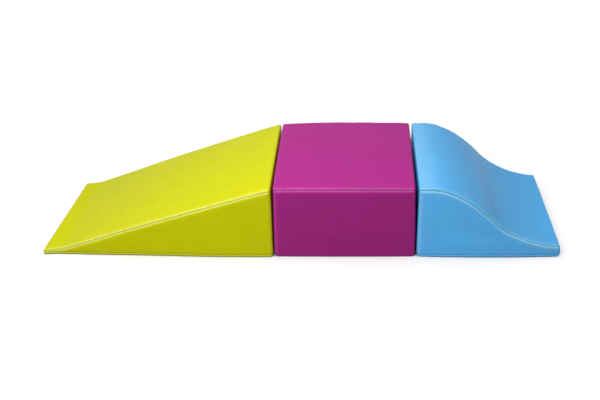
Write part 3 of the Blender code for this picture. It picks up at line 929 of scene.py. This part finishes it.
def stitch_template():
    """One stitch along X with up along Z, as points and faces: four hexagonal rings and a point at each
    end. Its middle lies on the surface and its ends dip below it."""
    along = np.array([-0.80, -0.45, 0.45, 0.80])[:, None] * STITCH_HALF
    thick = np.array([0.75, 1.0, 1.0, 0.75])[:, None] * THREAD_RADIUS
    around = np.arange(6) * math.radians(60)
    rise = THREAD_RADIUS * (0.9 - 2.0 * (along / STITCH_HALF) ** 2)
    rings = stacked(along, thick * np.cos(around), rise + thick * np.sin(around)).reshape(-1, 3)
    tips = stacked([-STITCH_HALF, STITCH_HALF], 0, -1.2 * THREAD_RADIUS)
    side = grid_faces(4, 6, wrap=True)
    corner = np.arange(6)
    near = stacked(24, (corner + 1) % 6, corner)
    far = stacked(25, 18 + corner, 18 + (corner + 1) % 6)
    return np.concatenate([rings, tips]), side[:, ::-1], np.concatenate([near, far])[:, ::-1]


def evenly(line, out):
    """Stitches at an even pitch along a line of points: centres, directions along it and outward."""
    steps = np.linalg.norm(np.diff(line, axis=0), axis=1)
    run = np.concatenate([[0.0], np.cumsum(steps)])
    length = run[-1] - 2 * ROW_MARGIN
    count = int(length / STITCH_PITCH)
    at = ROW_MARGIN + length * (np.arange(count) + 0.5) / count
    centre, ahead, behind, up = (
        np.stack([np.interp(where, run, values[:, k]) for k in range(3)], axis=1)
        for where, values in ((at, line), (at + AIM, line), (at - AIM, line), (at, out))
    )
    along = unit(ahead - behind)
    return centre, along, unit(up - along * (up * along).sum(axis=1, keepdims=True))


def thread_material(name, colour):
    """Twisted thread: fine slanting strands, as bands of a wave texture in the colour and the bump."""
    made, tree, shader = new_material(name, specular=0.2)
    strands = texture(tree, "ShaderNodeTexWave", scale=700, bands_direction="DIAGONAL")["Fac"]
    base = mixed(tree, strands, tuple(0.75 * c for c in colour), colour)
    normal = bumped(tree, strands, strength=0.4, distance=0.0001)
    feed(tree, shader, {"Base Color": base, "Roughness": 0.55, "Normal": normal})
    return made


stitch_points, stitch_sides, stitch_tips = stitch_template()
for module, thread in (
    (wedge, thread_material("Lime thread", (0.84, 0.85, 0.06))),
    (block, thread_material("Magenta thread", (0.56, 0.08, 0.36))),
    (wave, thread_material("Blue thread", (0.20, 0.72, 1.0))),
):
    rows = [evenly(line, out) for line, out in module.stitch_lines]
    centre, along, up = (np.concatenate(parts) for parts in zip(*rows))
    axes = np.stack([along, np.cross(up, along), up], axis=1)
    points = centre[:, None] + stitch_points @ axes
    first = (np.arange(len(centre)) * len(stitch_points))[:, None, None]
    faces = (stitch_sides + first).reshape(-1, 4).tolist() + (stitch_tips + first).reshape(-1, 3).tolist()
    stitching = add_piece(f"{module.name}_seam_thread", points, faces, thread)
    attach(stitching, module.name)

# Zip tapes: two strips of woven polyester behind the slot in each back panel, whose turned-in edges are
# stitched down on them. The edge of each that meets the other is corded and carries half of the coil.
ZIP_HEIGHT = 0.024
TAPE_WIDTH = 0.012
TAPE_GAP = 0.00015
TAPE_LAP = 0.004
TAPE_FACE = 0.3003
TAPE_THICKNESS = 0.0008
CORD_RISE = 0.0009
CORD_EDGES = (0.0040, 0.0030)
WAVER = 0.00012
WAVER_LENGTH = 0.031
THREAD_PITCH = 0.0007
COLUMN_WIDTH = 0.0012
TAPE_STEP = 0.004

# Herringbone tape: fine threads that slant one way and then the other in narrow columns, as a sine of the
# distance along the tape plus a zigzag of the height across it
tape_weave, tree, shader = new_material("Woven zip tape", specular=0.2)
place = add_node(tree, "ShaderNodeTexCoord").outputs["Object"]
place = add_node(tree, "ShaderNodeSeparateXYZ", {0: place}).outputs
along = math_node(tree, "ADD", place["X"], math_node(tree, "PINGPONG", place["Z"], COLUMN_WIDTH))
threads = math_node(tree, "SINE", math_node(tree, "MULTIPLY", along, 2 * math.pi / THREAD_PITCH))
height = math_node(tree, "MULTIPLY_ADD", threads, 0.5, 0.5)
dust = math_node(tree, "MULTIPLY", mottled(tree, patches=120.0), 0.5)
colour = mixed(tree, math_node(tree, "ADD", height, dust), (0.035, 0.035, 0.042), (0.085, 0.085, 0.098))
normal = bumped(tree, height, strength=0.5, distance=0.0002)
feed(tree, shader, {"Base Color": colour, "Roughness": 0.85, "Normal": normal})

# The lines along the tape lie closer where it is corded.
from_middle = np.concatenate([np.linspace(TAPE_GAP, 0.0042, 12), np.linspace(0.005, TAPE_WIDTH, 6)])
for module in modules:
    low, high = SLOT_RUNS[module.name]
    x = np.linspace(low - TAPE_LAP, high + TAPE_LAP, math.ceil((high - low) / TAPE_STEP))[:, None]
    for label, way in (("lower", -1), ("upper", 1)):
        face = TAPE_FACE + CORD_RISE * smooth(from_middle, *CORD_EDGES)
        face = face + WAVER * np.sin(x * 2 * math.pi / WAVER_LENGTH + way)
        points = module.fit(stacked(x, face, ZIP_HEIGHT + way * from_middle))
        faces = outward(points, grid_faces(*face.shape), np.broadcast_to([0.0, 1.0, 0.0], points.shape))
        tape = add_piece(f"{module.name}_{label}_tape", points, faces, tape_weave)
        thicken(tape, TAPE_THICKNESS)
        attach(tape, module.name)
        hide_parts(f"{module.name}_{label}_zip_tape")

# Zip coils: two springs of nylon monofilament per zip, one sewn on each tape. They are drawn closed, so
# that the turns of one lie between those of the other.
COIL_PITCH = 0.0015
COIL_WIRE = 0.0003
COIL_REACH = 0.00155
COIL_SIDE = 0.0029
COIL_FLOOR = 0.3012
COIL_TOP = 0.3037
COIL_START = 0.0006
TURN_POINTS = 8
WIRE_CORNERS = 4
WIRE_TIP = 0.02

# Moulded nylon: near black and satin, a little uneven in its gloss
nylon, tree, shader = new_material("Nylon coil", specular=0.4)
uneven = mottled(tree, patches=260.0)
level = math_node(tree, "MULTIPLY_ADD", uneven, 0.5, 0.5)
colour = mixed(tree, level, (0.040, 0.040, 0.048), (0.062, 0.062, 0.074))
gloss = math_node(tree, "MULTIPLY_ADD", uneven, 0.08, 0.38)
feed(tree, shader, {"Base Color": colour, "Roughness": gloss})


def spring(start, turn, way):
    """One half of a coil, as points and their directions outward from the wire. X grows evenly, Y and Z
    go round an oval, and a ring of corners goes round that path. The wire narrows to its ends."""
    around = 2 * math.pi * turn
    middle_y = (COIL_FLOOR + COIL_TOP) / 2
    rise = (COIL_TOP - COIL_FLOOR) / 2 - COIL_WIRE
    middle_z = ZIP_HEIGHT + way * (COIL_SIDE - COIL_WIRE - COIL_REACH)
    x = start + COIL_PITCH * (turn + 0.25 * (1 + way))
    path = stacked(x, middle_y + rise * np.sin(around), middle_z + way * COIL_REACH * np.cos(around))
    outside = stacked(0.0, np.sin(around), way * np.cos(around))
    thick = np.full((len(turn), 1, 1), COIL_WIRE)
    thick[[0, -1]] *= WIRE_TIP
    ring = (np.arange(WIRE_CORNERS) * QUARTER)[:, None]
    section = outside[:, None] * np.cos(ring) + np.array([1.0, 0, 0]) * np.sin(ring)
    return path[:, None] + thick * section, section


for module in modules:
    low, high = SLOT_RUNS[module.name]
    count = int((high - low) / COIL_PITCH) - 1
    turn = np.arange(count * TURN_POINTS + 1) / TURN_POINTS
    springs = [spring(low + COIL_START, turn, way) for way in (-1, 1)]
    straight, sections = (np.stack(parts) for parts in zip(*springs))
    points = module.fit(straight)
    # The coil stays level along the zip, as the slider runs straight.
    points[..., 2] = straight[..., 2]
    one = grid_faces(len(turn), WIRE_CORNERS, wrap=True)
    halves = [outward(points[k], one, sections[k]) + k * len(turn) * WIRE_CORNERS for k in (0, 1)]
    coil = add_piece(f"{module.name}_coil", points, np.concatenate(halves), nylon)
    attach(coil, module.name)
    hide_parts(f"{module.name}_zip_coil")

# Zip sliders: a zinc channel that runs on the coil, lacquered in gunmetal, with an arched bail cast on its
# back. The channel is wider where the two halves of the coil come in.
SLIDER_HALF = 0.0065
# Heights over the pull tab's pin
ROOF = -0.0010
SKIRT = -0.0042
# The rest are lengths, and shares by which the channel widens and is cut back.
WALL = 0.0010
CHANNEL_HALF = 0.0033
CHANNEL_ROUND = 0.0008
LIP = 0.0004
LIP_HEIGHT = 0.0005
FLARE = 0.14
FLARE_RUN = (-0.2, 0.8)
WAIST = 0.20
WAIST_AT = 0.005
STATIONS = 15
BAIL_HALF = 0.0036
BAIL_RISE = 0.0015
BAIL_SUNK = 0.0004
STRIP_HALF_THICKNESS = 0.0005
STRIP_HALF_WIDTH = 0.0010
STRIP_CHAMFER = 0.0002
WORN = 0.00018

# Gunmetal lacquer: dark and fairly even, with fine scuffs where the lacquer is rubbed thin
gunmetal, tree, shader = new_material("Gunmetal", specular=0.5, metallic=0.85)
scuffs = texture(tree, "ShaderNodeTexNoise", scale=700, values={"Detail": 5})["Fac"]
rubbed = math_node(tree, "MAXIMUM", math_node(tree, "MULTIPLY_ADD", scuffs, 5.0, -2.9), 0.0)
shine = math_node(tree, "MINIMUM", rubbed, 1.0)
level = math_node(tree, "MULTIPLY_ADD", mottled(tree, patches=90.0), 0.5, 0.5)
lacquer = mixed(tree, level, (0.27, 0.27, 0.28), (0.33, 0.33, 0.34))
colour = mixed(tree, shine, lacquer, (0.46, 0.45, 0.44))
gloss = math_node(tree, "MULTIPLY_ADD", shine, -0.10, 0.36)
normal = bumped(tree, scuffs, strength=0.15, distance=0.00005)
feed(tree, shader, {"Base Color": colour, "Roughness": gloss, "Normal": normal})

joints = {joint["name"]: joint for joint in frame["joints"]}


def add_metal(name, module, parts, body, node):
    """A metal piece put together from closed parts. Their points are given as distances along the zip,
    outward and up from the pull tab's pin, which the model's record places."""
    ahead = joints[f"{module.name}_zip_run"]["axis"]
    axes = np.array([ahead, [-ahead[1], ahead[0], 0], [0, 0, 1]])
    pin = np.array(joints[f"{module.name}_tab_swing"]["pos_m"])
    points, faces, first = [], [], 0
    for part_points, part_faces in parts:
        points.append(pin + part_points.reshape(-1, 3) @ axes)
        faces += [tuple(corner + first for corner in face) for face in part_faces]
        first += len(points[-1])
    piece = add_piece(name, np.concatenate(points), faces, gunmetal)
    weld(piece.data, 1e-6, closed=True)
    edges = piece.modifiers.new("Worn edges", "BEVEL")
    edges.width = WORN
    edges.segments = 2
    edges.limit_method = "ANGLE"
    edges.angle_limit = math.radians(40)
    piece.modifiers.new("Even shading on the flats", "WEIGHTED_NORMAL")
    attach(piece, body)
    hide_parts(node)


def swept(sections):
    """A solid whose rings of points are joined one to the next, with a flat face over each end."""
    rows, columns = sections.shape[:2]
    faces = grid_faces(rows, columns, wrap=True).tolist()
    return sections, faces + [list(range(columns))[::-1], list(range((rows - 1) * columns, rows * columns))]


def slider_channel():
    """The channel: its section, half of it from the back round the skirt to the inside and the other half
    mirrored, swept along the zip, flared at its mouth and with ends that are cut back at the sides."""
    corner = np.linspace(QUARTER, 0, 5)
    outer = CHANNEL_HALF + WALL
    inner = CHANNEL_HALF - LIP
    middle = [outer - CHANNEL_ROUND, ROOF - CHANNEL_ROUND]
    turned = middle + CHANNEL_ROUND * stacked(np.cos(corner), np.sin(corner))
    skirt = [[outer, SKIRT], [inner, SKIRT], [inner, SKIRT + LIP_HEIGHT]]
    inside = [[CHANNEL_HALF, SKIRT + LIP_HEIGHT], [CHANNEL_HALF, ROOF - WALL]]
    outline = np.concatenate([turned, skirt, inside])
    outline = np.concatenate([outline, outline[::-1] * [-1, 1]])
    station = np.linspace(-1, 1, STATIONS)[:, None]
    across = outline[:, 0] * (1 + FLARE * smooth(station, *FLARE_RUN))
    along = SLIDER_HALF * station * (1 - WAIST * np.abs(across / WAIST_AT) ** 3)
    return swept(stacked(along, outline[:, 1], across))


def slider_bail():
    """The bail: a strip with two rounded corners, swept along a flat arch over the pin."""
    arch = np.linspace(0, math.pi, STATIONS)
    foot = ROOF - BAIL_SUNK
    along = BAIL_HALF * np.sign(np.cos(arch)) * np.abs(np.cos(arch)) ** 0.5
    path = stacked(along, foot + (BAIL_RISE - foot) * np.sin(arch) ** 0.5)
    ahead = unit(np.gradient(path, axis=0))
    high, wide = STRIP_HALF_THICKNESS, STRIP_HALF_WIDTH
    lower, narrow = high - STRIP_CHAMFER, wide - STRIP_CHAMFER
    up = np.array([high, high, lower, -high, -high, lower])
    side = np.array([narrow, -narrow, -wide, -wide, wide, wide])
    return swept(stacked(path[:, :1] + ahead[:, 1:] * up, path[:, 1:] - ahead[:, :1] * up, side))


slider = (slider_channel(), slider_bail())
for module in modules:
    name = module.name
    add_metal(f"{name}_slider_body", module, slider, f"{name}_slider", f"{name}_zip_slider")

# Pull tabs: a flat zinc tab with the same lacquer, which hangs by the window at its end from the bail and
# swings there. Both faces are dished inside a raised rim.
TAB_REACH = 0.024
TAB_END = 0.0006
TAB_HALF = 0.0035
TAB_FACE = 0.0006
RIM = 0.0007
DISH = 0.00018
CORNER_POINTS = 7
# The window's start and end along the tab, half its width and its corners' radius
WINDOW = (-0.0048, -0.0006, 0.0018, 0.0006)
# The corners' radii of the outline, the rim and the dish
ROUNDS = (0.0013, 0.0008, 0.0007)


def rounded(start, end, half, radius):
    """A rectangle with rounded corners as a loop of points: start and end along, half across."""
    turn = np.linspace(0, QUARTER, CORNER_POINTS)
    u = np.repeat([end - radius, start + radius, start + radius, end - radius], CORNER_POINTS)
    w = np.repeat([half - radius, half - radius, radius - half, radius - half], CORNER_POINTS)
    turn = np.concatenate([turn + k * QUARTER for k in range(4)])
    return stacked(u + radius * np.cos(turn), w + radius * np.sin(turn))


outer = rounded(-TAB_REACH, TAB_END, TAB_HALF, ROUNDS[0])
rim = rounded(-TAB_REACH + RIM, TAB_END - 0.0003, TAB_HALF - RIM, ROUNDS[1])
dish = rounded(-TAB_REACH + RIM + DISH, TAB_END - 0.0004, TAB_HALF - RIM - DISH, ROUNDS[2])
window = rounded(*WINDOW)
loops = [(window, TAB_FACE - DISH), (dish, TAB_FACE - DISH), (rim, TAB_FACE), (outer, TAB_FACE)]
loops += [(loop, -level) for loop, level in loops[::-1]]
tab_points = np.stack([stacked(loop[:, 0], level, loop[:, 1]) for loop, level in loops])
tab_faces = grid_faces(len(loops) + 1, len(outer), wrap=True) % (len(loops) * len(outer))
tab = (tab_points, tab_faces.tolist())
for module in modules:
    name = module.name
    add_metal(f"{name}_tab", module, (tab,), f"{name}_pull_tab", f"{name}_zip_pull_tab")
